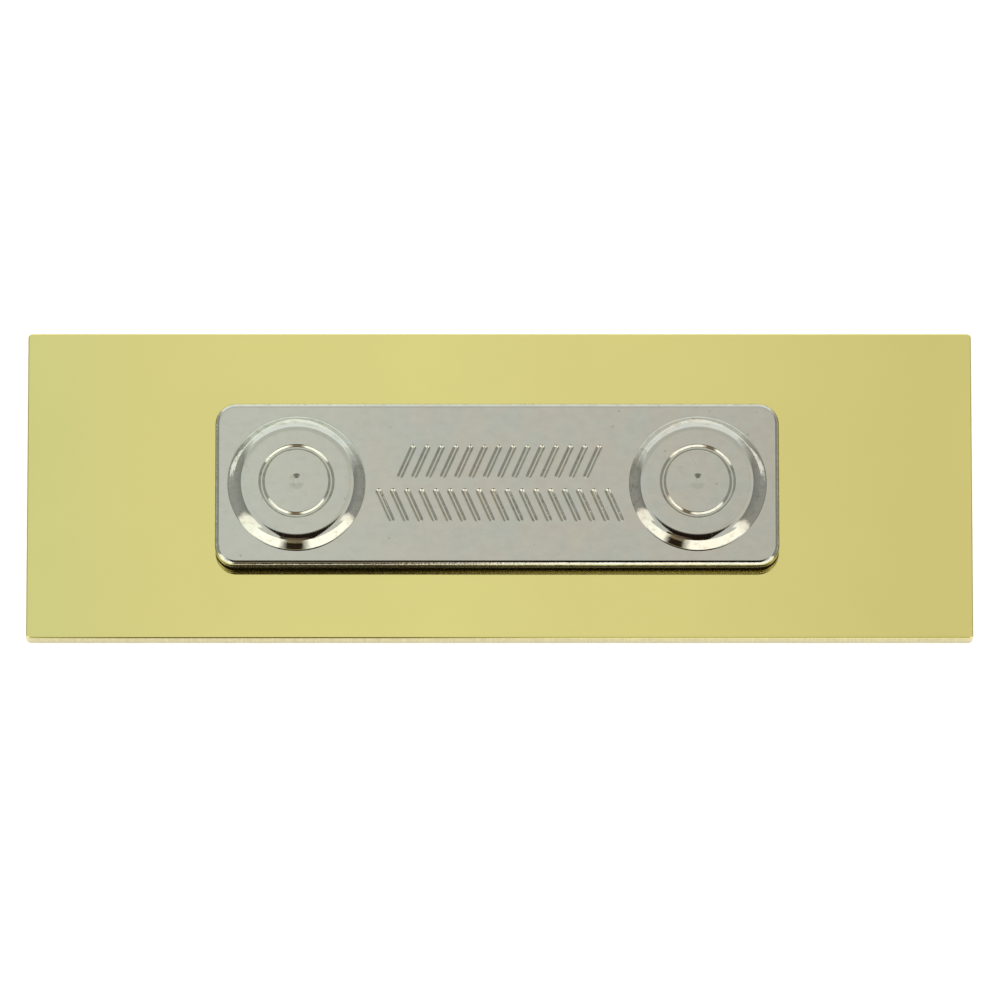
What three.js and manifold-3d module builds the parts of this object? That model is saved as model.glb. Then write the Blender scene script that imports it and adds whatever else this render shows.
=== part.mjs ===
// A magnetic name badge lying face down: a plain brass plate with a nickel-plated magnetic fastener
// on its back. The fastener is a steel strip on an adhesive pad, and a pressed cover that holds two
// disc magnets. All lengths are in millimetres, +Z is up, +X runs along the badge, and the origin is
// the middle of the plate's face, which lies on the ground.
import * as THREE from 'three';
import { mergeVertices } from 'three/addons/utils/BufferGeometryUtils.js';
import Module from 'manifold-3d';

const wasm = await Module();
wasm.setup();

// Name plate
const plateLength = 76;
const plateWidth = 25.2;
const plateThickness = 1.6;
const plateCornerRadius = 0.35;
const plateEdgeRound = 0.12;

// Place of the fastener on the plate, from the plate's middle
const fastenerOffsetX = -0.2;
const fastenerOffsetY = -0.3;

// Pressed cover of the magnet bar
const coverLength = 45.3;
const coverWidth = 13.38;
const coverHeight = 0.9;
const coverCornerRadius = 1.7;
const coverEdgeRound = 0.42;
const coverRimRound = 0.3;
const coverSheet = 0.42;

// Round bosses pressed into the cover
const bossEndMargin = 6.55;
const bossFootDiameter = 11.02;
const bossTopDiameter = 9.36;
const bossRise = 0.83;
const bossFootRound = 0.25;
const bossEdgeRound = 1.3;

// Disc magnets under the bosses
const magnetSideClearance = 0.3;
const magnetRoofClearance = 0.05;
const magnetEdgeChamfer = 0.15;

// Steel strip, adhesive pad and the seat of the magnet bar
const stripThickness = 0.5;
const stripInset = 0.03;
const stripEdgeRound = 0.05;
const padThickness = 0.5;
const padInset = 0.25;
const padCornerRadius = 1.4;
const seatGap = 0.05;

// Stamped grooves: two rows of slanted grip grooves, and a ring and a dimple on each boss
const grooveWidth = 0.5;
const grooveFloorWidth = 0.12;
const grooveDepth = 0.16;
const gripRowHeight = 2.75;
const gripRowSpacing = 3.6;
const gripRowShiftX = 0.2;
const gripPitch = 1.15;
const gripSlant = 24;
const upperRowMargin = 2.65;
const lowerRowMargin = 1.05;
const ringDiameter = 5.6;
const dimpleDiameter = 1.3;

// Fineness of the faceted rounds
const roundSteps = 4;
const cornerSteps = 5;
const bossSides = 44;
const ringSides = 32;
const dimpleSides = 20;
const grooveEndSteps = 2;
const cutOvershoot = 0.1;

// Heights of the layers above the ground, worked out from the sizes above
const padBottom = plateThickness;
const stripBottom = padBottom + padThickness;
const stripTop = stripBottom + stripThickness;
const coverBottom = stripTop + seatGap;
const coverTop = coverBottom + coverHeight;
const coverCeiling = coverTop - coverSheet;
const bossTop = coverTop + bossRise;
const bossCeiling = bossTop - coverSheet;

// Places along the cover: the boss centres, left and right, and the grip rows between the bosses
const bossSpacing = coverLength - 2 * bossEndMargin;
const bossCentres = [-bossSpacing / 2, bossSpacing / 2];
const upperRowLength = bossSpacing - bossFootDiameter - 2 * upperRowMargin;
const lowerRowLength = bossSpacing - bossFootDiameter - 2 * lowerRowMargin;

// Sheet offset of the bosses: their inner wall runs one sheet thickness inside the outer one
const bossSlope = Math.atan2(bossRise, (bossFootDiameter - bossTopDiameter) / 2);
const bossInnerShift = coverSheet * Math.tan(bossSlope / 2);
const bossInnerFootRadius = bossFootDiameter / 2 - bossInnerShift;
const bossInnerTopRadius = bossTopDiameter / 2 - bossInnerShift;
const magnetRadius = bossInnerTopRadius - magnetSideClearance;

// Finishes
const brass = new THREE.MeshStandardMaterial({ color: 0xd9d384, roughness: 0.12, metalness: 1 });
const nickel = new THREE.MeshStandardMaterial({ color: 0xb9b8aa, roughness: 0.14, metalness: 1 });
const stripNickel = new THREE.MeshStandardMaterial({ color: 0xaaa99c, roughness: 0.25, metalness: 1 });
const magnetNickel = new THREE.MeshStandardMaterial({ color: 0xc4c3bb, roughness: 0.1, metalness: 1 });
const darkFoam = new THREE.MeshStandardMaterial({ color: 0x26221d, roughness: 0.95, metalness: 0 });

// Outline of a rectangle with round corners, counter-clockwise, as [x, y] points about its middle.
function roundedOutline(length, width, radius, steps = cornerSteps) {
  const reach = Math.min(radius, length / 2, width / 2);
  const points = [];
  for (let corner = 0; corner < 4; corner += 1) {
    const signX = corner === 0 || corner === 3 ? 1 : -1;
    const signY = corner < 2 ? 1 : -1;
    for (let step = 0; step <= steps; step += 1) {
      const angle = (corner + step / steps) * Math.PI / 2;
      points.push([
        signX * (length / 2 - reach) + reach * Math.cos(angle),
        signY * (width / 2 - reach) + reach * Math.sin(angle),
      ]);
    }
  }
  return points;
}

// Closed solid through outlines of equal point count, each { outline, z }, from the lowest to the highest.
function loftOutlines(rings) {
  const count = rings[0].outline.length;
  const positions = [];
  const triangles = [];
  for (const ring of rings) {
    for (const [x, y] of ring.outline) {
      positions.push(x, y, ring.z);
    }
  }
  for (let level = 0; level + 1 < rings.length; level += 1) {
    for (let here = 0; here < count; here += 1) {
      const next = (here + 1) % count;
      const low = level * count;
      const high = low + count;
      triangles.push(low + here, low + next, high + next);
      triangles.push(low + here, high + next, high + here);
    }
  }
  const lid = (level, up) => {
    const flat = rings[level].outline.map(([x, y]) => new THREE.Vector2(x, y));
    for (const [a, b, c] of THREE.ShapeUtils.triangulateShape(flat, [])) {
      const start = level * count;
      triangles.push(start + a, start + (up ? b : c), start + (up ? c : b));
    }
  };
  lid(0, false);
  lid(rings.length - 1, true);
  const geometry = new THREE.BufferGeometry();
  geometry.setAttribute('position', new THREE.Float32BufferAttribute(positions, 3));
  geometry.setIndex(triangles);
  return geometry;
}

// Flat slab with round corners. Its lower and upper edges can each be rounded.
function slab({ length, width, corner, bottom, top, lowerRound = 0, upperRound = 0 }) {
  const rings = [];
  const addRing = (inset, z) => rings.push({
    outline: roundedOutline(length - 2 * inset, width - 2 * inset, Math.max(corner - inset, corner / 5)),
    z,
  });
  const lower = lowerRound > 0 ? roundSteps : 0;
  const upper = upperRound > 0 ? roundSteps : 0;
  for (let step = 0; step <= lower; step += 1) {
    const angle = lower ? step / lower * Math.PI / 2 : 0;
    addRing(lowerRound * (1 - Math.sin(angle)), bottom + lowerRound * (1 - Math.cos(angle)));
  }
  for (let step = 0; step <= upper; step += 1) {
    const angle = upper ? step / upper * Math.PI / 2 : 0;
    addRing(upperRound * (1 - Math.cos(angle)), top - upperRound * (1 - Math.sin(angle)));
  }
  return loftOutlines(rings);
}

// Profile through [radius, height, round] points, with an arc at each point that has a round.
function roundedProfile(corners) {
  const points = [];
  corners.forEach(([radius, height, round = 0], index) => {
    const here = new THREE.Vector2(radius, height);
    if (round === 0) {
      points.push(here);
      return;
    }
    const before = new THREE.Vector2(corners[index - 1][0], corners[index - 1][1]).sub(here).normalize();
    const after = new THREE.Vector2(corners[index + 1][0], corners[index + 1][1]).sub(here).normalize();
    const halfAngle = Math.acos(before.dot(after)) / 2;
    const tangent = round / Math.tan(halfAngle);
    const middle = before.clone().add(after).normalize();
    const centre = middle.multiplyScalar(round / Math.sin(halfAngle)).add(here);
    const from = before.multiplyScalar(tangent).add(here).sub(centre);
    const to = after.multiplyScalar(tangent).add(here).sub(centre);
    const turn = to.angle() - from.angle();
    const shortTurn = Math.atan2(Math.sin(turn), Math.cos(turn));
    for (let step = 0; step <= roundSteps; step += 1) {
      points.push(from.clone().rotateAround(new THREE.Vector2(), shortTurn * step / roundSteps).add(centre));
    }
  });
  return points;
}

// Solid of revolution about a vertical axis at (x, 0), its profile read from the lowest point outwards.
function turned(corners, x, sides = bossSides) {
  const geometry = new THREE.LatheGeometry(roundedProfile(corners), sides);
  geometry.rotateX(Math.PI / 2);
  geometry.translate(x, 0, 0);
  return geometry;
}

// Geometry with merged vertices as a solid for cutting and joining, and back.
function toSolid(geometry) {
  const bare = geometry.clone();
  bare.deleteAttribute('normal');
  bare.deleteAttribute('uv');
  const merged = mergeVertices(bare, 1e-5);
  const indices = merged.index.array;
  const kept = [];
  for (let start = 0; start < indices.length; start += 3) {
    const [a, b, c] = indices.slice(start, start + 3);
    if (a !== b && b !== c && c !== a) {
      kept.push(a, b, c);
    }
  }
  return new wasm.Manifold(new wasm.Mesh({
    numProp: 3,
    vertProperties: new Float32Array(merged.attributes.position.array),
    triVerts: new Uint32Array(kept),
  }));
}

function toGeometry(solid) {
  const mesh = solid.getMesh();
  const geometry = new THREE.BufferGeometry();
  geometry.setAttribute('position', new THREE.Float32BufferAttribute(mesh.vertProperties, 3));
  geometry.setIndex(new THREE.Uint32BufferAttribute(mesh.triVerts, 1));
  return geometry;
}

function bossOutside(x) {
  return turned([
    [0, coverTop - coverSheet / 2],
    [bossFootDiameter / 2 + bossFootRound, coverTop - coverSheet / 2],
    [bossFootDiameter / 2 + bossFootRound, coverTop],
    [bossFootDiameter / 2, coverTop, bossFootRound],
    [bossTopDiameter / 2, bossTop, bossEdgeRound],
    [0, bossTop],
  ], x);
}

function bossInside(x) {
  return turned([
    [0, coverBottom - cutOvershoot],
    [bossInnerFootRadius, coverBottom - cutOvershoot],
    [bossInnerFootRadius, coverCeiling],
    [bossInnerTopRadius, bossCeiling],
    [0, bossCeiling],
  ], x);
}

// Long groove with round ends, centred at (x, y) and turned by an angle in degrees from +Y.
function grooveCutter(length, x, y, angle) {
  const ring = (shrink, z) => ({
    outline: roundedOutline(grooveWidth - shrink, length - shrink, grooveWidth / 2, grooveEndSteps),
    z,
  });
  const slope = (grooveWidth - grooveFloorWidth) / grooveDepth;
  const cutter = loftOutlines([
    ring(grooveWidth - grooveFloorWidth, coverTop - grooveDepth),
    ring(-slope * cutOvershoot, coverTop + cutOvershoot),
  ]);
  cutter.rotateZ(THREE.MathUtils.degToRad(-angle));
  cutter.translate(x, y, 0);
  return cutter;
}

// One row of slanted grip grooves, as many as the row length holds at the pitch.
function gripRow(rowLength, y, slant) {
  const count = Math.max(1, Math.floor((rowLength - grooveWidth) / gripPitch) + 1);
  const length = gripRowHeight / Math.cos(THREE.MathUtils.degToRad(slant));
  return Array.from({ length: count }, (unused, index) => grooveCutter(
    length,
    gripRowShiftX + (index - (count - 1) / 2) * gripPitch,
    y,
    slant,
  ));
}

// Ring groove on a boss: a closed profile turned about the boss axis.
function ringCutter(x) {
  const radius = ringDiameter / 2;
  const floor = grooveFloorWidth / 2;
  const mouth = grooveWidth / 2 + cutOvershoot * (grooveWidth - grooveFloorWidth) / 2 / grooveDepth;
  return turned([
    [radius - floor, bossTop - grooveDepth],
    [radius + floor, bossTop - grooveDepth],
    [radius + mouth, bossTop + cutOvershoot],
    [radius - mouth, bossTop + cutOvershoot],
    [radius - floor, bossTop - grooveDepth],
  ], x, ringSides);
}

// Shallow cone-shaped dimple in the middle of a boss.
function dimpleCutter(x) {
  const radius = dimpleDiameter / 2;
  return turned([
    [0, bossTop - grooveDepth],
    [radius * (grooveDepth + cutOvershoot) / grooveDepth, bossTop + cutOvershoot],
    [0, bossTop + cutOvershoot],
  ], x, dimpleSides);
}

function pressedCover() {
  let shell = toSolid(slab({
    length: coverLength,
    width: coverWidth,
    corner: coverCornerRadius,
    bottom: coverBottom,
    top: coverTop,
    lowerRound: coverRimRound,
    upperRound: coverEdgeRound,
  }));
  for (const x of bossCentres) {
    shell = shell.add(toSolid(bossOutside(x)));
  }
  shell = shell.subtract(toSolid(slab({
    length: coverLength - 2 * coverSheet,
    width: coverWidth - 2 * coverSheet,
    corner: coverCornerRadius - coverSheet,
    bottom: coverBottom - cutOvershoot,
    top: coverCeiling,
  })));
  const cutters = [
    ...gripRow(upperRowLength, gripRowSpacing / 2, gripSlant),
    ...gripRow(lowerRowLength, -gripRowSpacing / 2, -gripSlant),
  ];
  for (const x of bossCentres) {
    shell = shell.subtract(toSolid(bossInside(x)));
    cutters.push(ringCutter(x), dimpleCutter(x));
  }
  for (const cutter of cutters) {
    shell = shell.subtract(toSolid(cutter));
  }
  return toGeometry(shell);
}

function discMagnet(x) {
  const top = bossCeiling - magnetRoofClearance;
  return turned([
    [0, coverBottom],
    [magnetRadius - magnetEdgeChamfer, coverBottom],
    [magnetRadius, coverBottom + magnetEdgeChamfer],
    [magnetRadius, top - magnetEdgeChamfer],
    [magnetRadius - magnetEdgeChamfer, top],
    [0, top],
  ], x);
}

function named(name, geometry, material) {
  const mesh = new THREE.Mesh(geometry, material);
  mesh.name = name;
  return mesh;
}

function namePlate() {
  return named('name_plate', slab({
    length: plateLength,
    width: plateWidth,
    corner: plateCornerRadius,
    bottom: 0,
    top: plateThickness,
    lowerRound: plateEdgeRound,
    upperRound: plateEdgeRound,
  }), brass);
}

function adhesivePad() {
  const inset = stripInset + padInset;
  return named('adhesive_pad', slab({
    length: coverLength - 2 * inset,
    width: coverWidth - 2 * inset,
    corner: padCornerRadius,
    bottom: padBottom,
    top: stripBottom,
  }), darkFoam);
}

function steelStrip() {
  return named('steel_strip', slab({
    length: coverLength - 2 * stripInset,
    width: coverWidth - 2 * stripInset,
    corner: coverCornerRadius - stripInset,
    bottom: stripBottom,
    top: stripTop,
    lowerRound: stripEdgeRound,
  }), stripNickel);
}

const fastener = new THREE.Group();
fastener.position.set(fastenerOffsetX, fastenerOffsetY, 0);
fastener.add(adhesivePad());
fastener.add(steelStrip());
fastener.add(named('magnet_cover', pressedCover(), nickel));
['magnet_disc_left', 'magnet_disc_right'].forEach((name, side) => {
  fastener.add(named(name, discMagnet(bossCentres[side]), magnetNickel));
});

const badge = new THREE.Group();
badge.add(namePlate());
badge.add(fastener);

export default badge;
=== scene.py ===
# A magnetic name badge, lying face down on a pale table. The frame gives every piece its place and
# outer size, and each piece here is the finished form of one of the frame's solids.

import math
from collections import namedtuple

import bpy
from bpy.props import FloatProperty, FloatVectorProperty, IntProperty, PointerProperty
from bpy.types import Operator, Panel, PropertyGroup
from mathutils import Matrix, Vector, geometry


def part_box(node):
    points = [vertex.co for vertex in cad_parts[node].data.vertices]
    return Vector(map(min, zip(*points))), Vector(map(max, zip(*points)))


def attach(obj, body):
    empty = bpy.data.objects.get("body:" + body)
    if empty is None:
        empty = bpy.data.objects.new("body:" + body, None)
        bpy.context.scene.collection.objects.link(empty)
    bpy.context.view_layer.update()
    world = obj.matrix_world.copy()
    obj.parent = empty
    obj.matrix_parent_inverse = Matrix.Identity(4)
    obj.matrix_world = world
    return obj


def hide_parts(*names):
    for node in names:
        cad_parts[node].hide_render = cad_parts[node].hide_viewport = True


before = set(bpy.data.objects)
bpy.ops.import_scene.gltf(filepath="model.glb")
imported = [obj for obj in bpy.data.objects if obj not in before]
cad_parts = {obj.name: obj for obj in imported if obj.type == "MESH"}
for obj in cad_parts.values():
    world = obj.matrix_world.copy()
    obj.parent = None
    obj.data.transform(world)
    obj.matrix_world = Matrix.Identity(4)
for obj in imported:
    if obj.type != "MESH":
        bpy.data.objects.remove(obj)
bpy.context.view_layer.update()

bl_info = {
    "name": "Magnetic Name Badge",
    "version": (1, 0, 0),
    "blender": (4, 5, 0),
    "location": "View3D > Sidebar > Badge",
    "description": "Builds the pieces of a magnetic name badge and the table it lies on",
    "category": "Object",
}

MM = 0.001

# Low and high corners of the frame's solids
PLATE_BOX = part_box("name_plate")
PAD_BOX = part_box("adhesive_pad")
STRIP_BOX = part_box("steel_strip")
COVER_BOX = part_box("magnet_cover")
LEFT_DISC_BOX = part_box("magnet_disc_left")
RIGHT_DISC_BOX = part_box("magnet_disc_right")
FASTENER_MIDDLE = (COVER_BOX[0] + COVER_BOX[1]) / 2


def length(name, about, default):
    """A size in metres that the user can change."""
    return FloatProperty(
        name=name, description=about, default=default, min=0, precision=5, unit="LENGTH"
    )


def place(name, about, default):
    """A place along an axis, in metres, that the user can change."""
    return FloatProperty(name=name, description=about, default=default, unit="LENGTH")


def degrees(name, about, default):
    """An angle that the user can change. Its default is given in degrees."""
    return FloatProperty(
        name=name, description=about, default=math.radians(default), subtype="ANGLE"
    )


def colour(name, about, default):
    """A colour that the user can change."""
    return FloatVectorProperty(
        name=name, description=about, default=default, subtype="COLOR", size=3, min=0, max=1
    )


class BadgePlateSettings(PropertyGroup):
    corner: length("Corner", "Radius of the plate's four corners", 0.35 * MM)
    edge: length("Edge", "Radius of the plate's polished edges", 0.12 * MM)
    brass: colour("Brass", "Colour of the polished brass", (0.82, 0.755, 0.277))
    # The edge colour is the grain of the plate's cut edges, darkened further as painted shade on
    # its sides
    sheared_edge_and_shade: colour("Sheared", "Colour of the grain on the sheared edges", (0.30, 0.245, 0.10))


class BadgeStripSettings(PropertyGroup):
    corner: length("Corner", "Radius of the strip's corners", 1.67 * MM)
    lower_edge: length("Lower edge", "Radius of the strip's lower edge", 0.05 * MM)
    upper_edge: length("Upper edge", "Radius of the strip's upper edge", 0.05 * MM)
    pad_corner: length("Pad corner", "Radius of the foam pad's corners", 1.4 * MM)
    foam_cell: length("Foam cell", "Size of the foam's open cells", 0.16 * MM)
    foam_depth: length("Foam depth", "Depth of the foam's open cells", 0.06 * MM)
    steel: colour("Steel", "Colour of the plated strip", (0.42, 0.41, 0.36))
    foam: colour("Foam", "Colour of the foam pad", (0.030, 0.023, 0.017))


class BadgeCoverSettings(PropertyGroup):
    height: length("Height", "Height of the cover without its bosses", 0.9 * MM)
    corner: length("Corner", "Radius of the cover's corners", 1.7 * MM)
    edge: length("Edge", "Radius of the pressed upper edge", 0.42 * MM)
    rim: length("Rim", "Radius of the rolled lower edge", 0.12 * MM)
    sheet: length("Sheet", "Thickness of the sheet", 0.42 * MM)
    boss_foot: length("Boss foot", "Diameter of a boss at its foot", 11.02 * MM)
    boss_top: length("Boss top", "Diameter of a boss at its top", 9.36 * MM)
    boss_foot_round: length("Boss foot round", "Radius at the foot of a boss", 0.25 * MM)
    boss_top_round: length("Boss top round", "Radius at the shoulder of a boss", 1.3 * MM)
    nickel: colour("Nickel", "Colour of the nickel plate", (0.55, 0.544, 0.467))


class BadgeGrooveSettings(PropertyGroup):
    width: length("Width", "Width of a stamped groove", 0.5 * MM)
    floor: length("Floor", "Width of a groove's floor", 0.12 * MM)
    depth: length("Depth", "Depth of a groove", 0.16 * MM)
    lip: length("Lip", "Radius of a groove's lip", 0.1 * MM)
    root: length("Root", "Radius where a groove's wall meets its floor", 0.08 * MM)
    pitch: length("Pitch", "Distance from one grip groove to the next", 1.15 * MM)
    row_height: length("Row height", "Height of a row of grip grooves", 2.75 * MM)
    row_spacing: length("Row spacing", "Distance between the two rows", 3.6 * MM)
    row_shift: length("Row shift", "Shift of the rows along the cover", 0.2 * MM)
    upper_margin: length("Upper margin", "Space from the bosses to the upper row", 2.65 * MM)
    lower_margin: length("Lower margin", "Space from the bosses to the lower row", 1.05 * MM)
    slant: degrees("Slant", "Slant of the grip grooves", 24)
    ring: length("Ring", "Diameter of the ring groove on a boss", 5.6 * MM)
    dimple: length("Dimple", "Diameter of the dimple on a boss", 1.3 * MM)
    dish: length("Dish", "Depth of the dimple", 0.09 * MM)


class BadgeMagnetSettings(PropertyGroup):
    edge: length("Edge", "Radius of a disc magnet's edges", 0.15 * MM)
    plating: colour("Plating", "Colour of the magnets' plating", (0.58, 0.575, 0.54))


class BadgeStageSettings(PropertyGroup):
    tilt: degrees("Tilt", "Angle of the view from straight down", 13.5)
    distance: length("Distance", "Distance of the camera", 1.1)
    view_width: length("View width", "Width that the picture takes in at the plate", 80.39 * MM)
    aim_x: place("Aim X", "Place along the badge that the picture centres on", 0.028 * MM)
    aim_y: place("Aim Y", "Place across the badge that the picture centres on", -1.19 * MM)
    table: colour("Table", "Colour of the table", (0.90, 0.90, 0.895))
    marks_seed: IntProperty(
        name="Marks seed", description="Seed of the fine marks on the pieces", default=3, min=0
    )


# Outlines and sections

# How finely arcs and straight sides are divided
CORNER_STEPS = 10
ARC_STEPS = 8
BOSS_ARC_STEPS = 14
BOSS_SIDES = 144
GROOVE_ARC_STEPS = 5
GROOVE_END_STEPS = 8
GROOVE_SIDE_STEP = 0.35 * MM
MAGNET_SIDES = 96
PAD_LEVELS = 7
PAD_SIDE_STEP = 0.07 * MM
SIDE_STEP = 1.0 * MM

# The radius that a corner keeps when its outline shrinks
LEAST_CORNER = 0.02 * MM
# How far past the end of an arc its guard point lies
GUARD = 0.012 * MM
# How far the first and last corners of a section lie from their neighbours
RUN = 1.0 * MM
# Points as close as this are one point
WELD = 0.001 * MM


def steps_along(distance, step):
    return max(1, round(distance / step))


def round_rectangle(size_x, size_y, radius, inset=0.0, side_step=SIDE_STEP):
    """Points of a rectangle with round corners about the origin, counter-clockwise. An inset
    moves them inwards and keeps their number."""
    reach_x = size_x / 2 - radius
    reach_y = size_y / 2 - radius
    along_x = steps_along(2 * reach_x, side_step)
    along_y = steps_along(2 * reach_y, side_step)
    arc = max(radius - inset, LEAST_CORNER)
    shift = radius - inset - arc
    # Each corner's signs, and the direction, half length and steps of the side after it
    corners = [
        (1, 1, (-1, 0), reach_x, along_x),
        (-1, 1, (0, -1), reach_y, along_y),
        (-1, -1, (1, 0), reach_x, along_x),
        (1, -1, (0, 1), reach_y, along_y),
    ]
    points = []
    for corner, (sign_x, sign_y, direction, reach, along) in enumerate(corners):
        middle = Vector((sign_x * (reach_x + shift), sign_y * (reach_y + shift)))
        for step in range(CORNER_STEPS + 1):
            angle = (corner + step / CORNER_STEPS) * math.pi / 2
            points.append(middle + arc * Vector((math.cos(angle), math.sin(angle))))
        last = points[-1]
        side = 2 * (reach + shift)
        points.extend(last + Vector(direction) * (side * step / along) for step in range(1, along))
    return points


def circle(radius, sides=BOSS_SIDES):
    angles = (math.tau * side / sides for side in range(sides))
    return [radius * Vector((math.cos(angle), math.sin(angle))) for angle in angles]


def stadium(offset, straight):
    """Points at one distance from an upright line of a given length, counter-clockwise."""
    along = steps_along(straight, GROOVE_SIDE_STEP)
    points = []
    for sign, start in ((1, 0), (-1, math.pi)):
        for step in range(along):
            points.append(Vector((sign * offset, sign * straight * (step / along - 0.5))))
        for step in range(GROOVE_END_STEPS):
            angle = start + math.pi * step / GROOVE_END_STEPS
            end_y = sign * straight / 2 + offset * math.sin(angle)
            points.append(Vector((offset * math.cos(angle), end_y)))
    return points


def moved(outline, middle, turn=0.0):
    """An outline turned about the origin and then moved."""
    cosine = math.cos(turn)
    sine = math.sin(turn)
    return [
        Vector((middle[0] + p.x * cosine - p.y * sine, middle[1] + p.x * sine + p.y * cosine))
        for p in outline
    ]


def section(corners, arc_steps=ARC_STEPS):
    """Points of a section through (distance, height, radius) corners. The first and the last
    corner only give the direction of its ends and are left out. A corner with a radius becomes an
    arc, with a guard point before and after it that keeps the flats beside it flat in the
    shading."""
    points = []
    for previous, (distance, height, radius), following in zip(corners, corners[1:], corners[2:]):
        here = Vector((distance, height))
        if radius == 0:
            points.append(here)
            continue
        before = (Vector(previous[:2]) - here).normalized()
        after = (Vector(following[:2]) - here).normalized()
        half = before.angle(after) / 2
        tangent = radius / math.tan(half)
        centre = here + (before + after).normalized() * (radius / math.sin(half))
        first = here + before * tangent - centre
        last = here + after * tangent - centre
        turn = math.atan2(first.x * last.y - first.y * last.x, first.dot(last))
        points.append(here + before * (tangent + GUARD))
        for step in range(arc_steps + 1):
            angle = turn * step / arc_steps
            spoke_x = first.x * math.cos(angle) - first.y * math.sin(angle)
            spoke_y = first.x * math.sin(angle) + first.y * math.cos(angle)
            points.append(centre + Vector((spoke_x, spoke_y)))
        points.append(here + after * (tangent + GUARD))
    return points


class Skin:
    """The vertices and faces of one mesh, added loop by loop. Loops run counter-clockwise, seen
    from above."""

    def __init__(self):
        self.points = []
        self.faces = []

    def loop(self, outline, height):
        start = len(self.points)
        self.points.extend((p[0], p[1], height) for p in outline)
        return list(range(start, len(self.points)))

    def bridge(self, first, second):
        """Quads between two loops. They face up where the second loop lies inside the first, and
        out where it lies above."""
        count = len(first)
        for here in range(count):
            after = (here + 1) % count
            self.faces.append((first[here], first[after], second[after], second[here]))

    def bridge_all(self, loops):
        for first, second in zip(loops, loops[1:]):
            self.bridge(first, second)

    def fan(self, loop, up=True):
        """Triangles from a loop to its middle."""
        middle = sum((Vector(self.points[i]) for i in loop), Vector()) / len(loop)
        tip = len(self.points)
        self.points.append(tuple(middle))
        for here, after in zip(loop, loop[1:] + loop[:1]):
            self.faces.append((here, after, tip) if up else (after, here, tip))

    def fill(self, outer, holes=(), up=True):
        """Triangles over a flat area between an outer loop and the loops of its holes."""
        loops = [outer, *holes]
        order = [index for loop in loops for index in loop]
        flat = [Vector(self.points[index][:2]) / MM for index in order]
        areas = []
        start = 0
        for loop in loops:
            areas.append(list(range(start, start + len(loop))))
            start += len(loop)
        inside_only = 1
        nearness = 1e-7
        filled = geometry.delaunay_2d_cdt(flat, [], areas, inside_only, nearness)
        _, _, triangles, sources, _, owners = filled
        for triangle, owner in zip(triangles, owners):
            # A triangle that a hole owns as well is left open
            if set(owner) != {0}:
                continue
            a, b, c = (order[sources[corner][0]] for corner in triangle)
            at_a, at_b, at_c = (Vector(self.points[index][:2]) for index in (a, b, c))
            if ((at_b - at_a).cross(at_c - at_a) > 0) != up:
                b, c = c, b
            self.faces.append((a, b, c))

    def mesh(self, name):
        made = bpy.data.meshes.new(name)
        made.from_pydata(self.points, [], self.faces)
        made.validate()
        made.shade_smooth()
        return made


def new_object(name, mesh):
    piece = bpy.data.objects.new(name, mesh)
    bpy.context.scene.collection.objects.link(piece)
    return piece


def stack(skin, box, corner, steps, side_step=SIDE_STEP):
    """Loops of a box's rectangular outline, one for each (inset, height) step."""
    low, high = box
    size = high - low
    middle = (low + high) / 2
    loops = []
    for inset, height in steps:
        outline = round_rectangle(size.x, size.y, corner, inset, side_step)
        loops.append(skin.loop(moved(outline, middle), height))
    return loops


def turned(skin, middle, profile, sides=BOSS_SIDES):
    """Loops of a round form about an upright axis, one for each (radius, height) point."""
    return [skin.loop(moved(circle(radius, sides), middle), height) for radius, height in profile]


def closed_stack(box, corner, steps, side_step=SIDE_STEP):
    """A closed slab with round corners, whose side follows (inset, height) steps upwards."""
    skin = Skin()
    loops = stack(skin, box, corner, steps, side_step)
    skin.bridge_all(loops)
    skin.fill(loops[0], up=False)
    skin.fill(loops[-1])
    return skin


def round_slab(box, corner, lower_edge, upper_edge):
    """A closed slab with round corners and round lower and upper edges."""
    low, high = box
    side = [(RUN, low.z, 0), (0, low.z, lower_edge), (0, high.z, upper_edge), (RUN, high.z, 0)]
    return closed_stack(box, corner, section(side))


# Node trees

class Wire:
    """An output socket that can stand in a Python expression, which then adds the Math nodes."""

    def __init__(self, sketch, socket):
        self.sketch = sketch
        self.socket = socket

    def __add__(self, other):
        return self.sketch.math("ADD", self, other)

    def __radd__(self, other):
        return self.sketch.math("ADD", other, self)

    def __sub__(self, other):
        return self.sketch.math("SUBTRACT", self, other)

    def __rsub__(self, other):
        return self.sketch.math("SUBTRACT", other, self)

    def __mul__(self, other):
        return self.sketch.math("MULTIPLY", self, other)

    def __rmul__(self, other):
        return self.sketch.math("MULTIPLY", other, self)

    def __truediv__(self, other):
        return self.sketch.math("DIVIDE", self, other)

    def __rtruediv__(self, other):
        return self.sketch.math("DIVIDE", other, self)


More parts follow.
